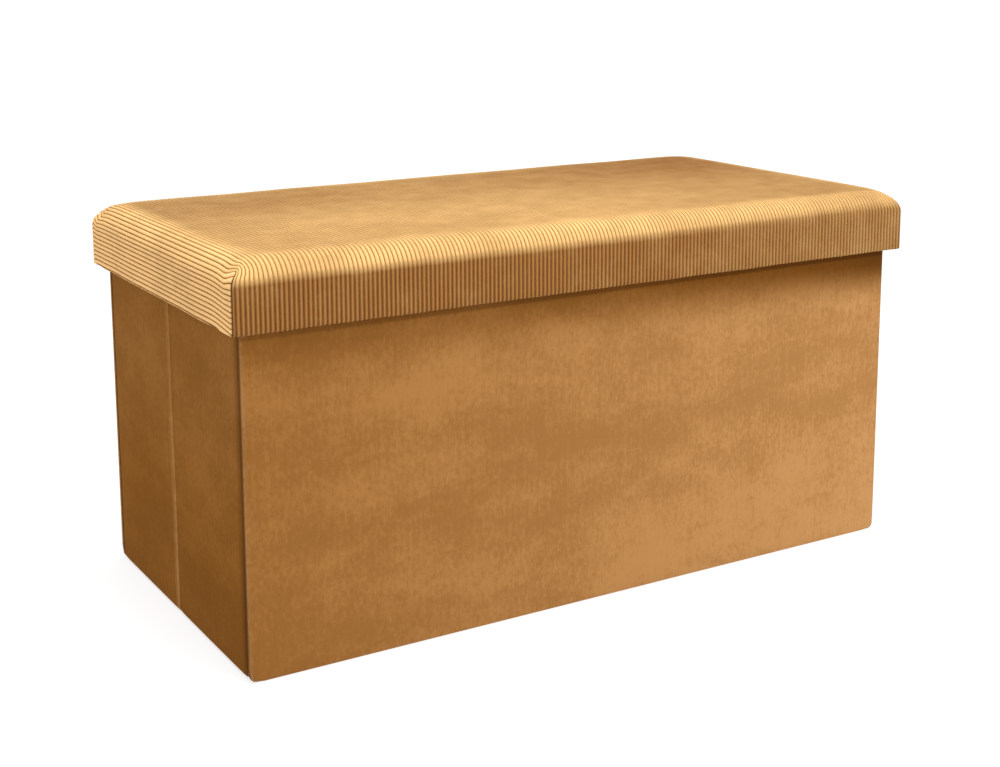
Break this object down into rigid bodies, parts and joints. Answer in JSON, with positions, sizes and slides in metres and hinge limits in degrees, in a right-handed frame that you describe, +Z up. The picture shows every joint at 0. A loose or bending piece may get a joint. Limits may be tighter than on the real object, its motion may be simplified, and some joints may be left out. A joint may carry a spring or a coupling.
{
  "type": "storage bench",
  "caption": "Upholstered storage bench: velvet box of hinged panels that folds flat, mitred folding floor, lift-off padded corduroy lid.",
  "frame": {"origin": "on the ground, under the middle of the bench", "axes": "+X runs along the length, -Y is the front, +Z is up"},
  "size_m": [0.76, 0.38, 0.38],
  "materials": {
    "lid_corduroy": "wide-wale corduroy, soft sheen",
    "body_velvet": "short-pile velvet with cloudy nap",
    "wall_board": "raw fibreboard",
    "seat_foam": "open-cell foam",
    "black_lining": "non-woven cloth",
    "tab_ribbon": "woven ribbon"
  },
  "bodies": {
    "rear_wall": {"rear_wall_board": "wall_board", "rear_wall_cover": "body_velvet", "rear_wall_lining": "black_lining", "base_cloth": "black_lining"},
    "left_end_rear": {"left_end_rear_board": "wall_board", "left_end_rear_cover": "body_velvet", "left_end_rear_lining": "black_lining"},
    "left_end_front": {"left_end_front_board": "wall_board", "left_end_front_cover": "body_velvet", "left_end_front_lining": "black_lining"},
    "front_wall": {"front_wall_board": "wall_board", "front_wall_cover": "body_velvet", "front_wall_lining": "black_lining"},
    "right_end_rear": {"right_end_rear_board": "wall_board", "right_end_rear_cover": "body_velvet", "right_end_rear_lining": "black_lining"},
    "right_end_front": {"right_end_front_board": "wall_board", "right_end_front_cover": "body_velvet", "right_end_front_lining": "black_lining"},
    "floor_rear": {"floor_board_rear": "wall_board", "floor_lining_rear": "black_lining"},
    "floor_front": {"floor_board_front": "wall_board", "floor_lining_front": "black_lining", "pull_tab": "tab_ribbon"},
    "lid": {"lid_cover": "lid_corduroy", "lid_pad": "seat_foam", "lid_seat_board": "wall_board", "lid_rim_front": "wall_board", "lid_rim_rear": "wall_board", "lid_rim_left": "wall_board", "lid_rim_right": "wall_board", "lid_lining": "black_lining"}
  },
  "joints": [
    {"name": "fold", "type": "hinge", "parent": "rear_wall", "child": "left_end_rear", "pos_m": [-0.3616, 0.1647, 0], "axis": [0, 0, 1], "range_deg": [0, 90], "deforming": ["base_cloth"]},
    {"name": "left_crease", "type": "hinge", "parent": "left_end_rear", "child": "left_end_front", "pos_m": [-0.3678, 0, 0], "axis": [0, 0, -1], "range_deg": [0, 180]},
    {"name": "front_corner", "type": "hinge", "parent": "left_end_front", "child": "front_wall", "pos_m": [-0.3616, -0.1647, 0], "axis": [0, 0, 1], "range_deg": [0, 90]},
    {"name": "right_corner", "type": "hinge", "parent": "rear_wall", "child": "right_end_rear", "pos_m": [0.3616, 0.1647, 0], "axis": [0, 0, -1], "range_deg": [0, 90]},
    {"name": "right_crease", "type": "hinge", "parent": "right_end_rear", "child": "right_end_front", "pos_m": [0.3678, 0, 0], "axis": [0, 0, 1], "range_deg": [0, 180]},
    {"name": "floor_rear_lift", "type": "hinge", "parent": "rear_wall", "child": "floor_rear", "pos_m": [0, 0.1699, 0.0063], "axis": [-1, 0, 0], "range_deg": [0, 90]},
    {"name": "floor_front_lift", "type": "hinge", "parent": "front_wall", "child": "floor_front", "pos_m": [0, -0.1699, 0.0063], "axis": [1, 0, 0], "range_deg": [0, 90]},
    {"name": "lid_lift", "type": "slide", "parent": "rear_wall", "child": "lid", "axis": [0, 0, 1], "range_m": [0, 0.25]}
  ],
  "couplings": [
    {"joint": "left_crease", "follows": "fold", "ratio": 2},
    {"joint": "front_corner", "follows": "fold", "ratio": 1},
    {"joint": "right_corner", "follows": "fold", "ratio": 1},
    {"joint": "right_crease", "follows": "fold", "ratio": 2},
    {"joint": "floor_rear_lift", "follows": "fold", "ratio": 1},
    {"joint": "floor_front_lift", "follows": "fold", "ratio": 1}
  ]
}
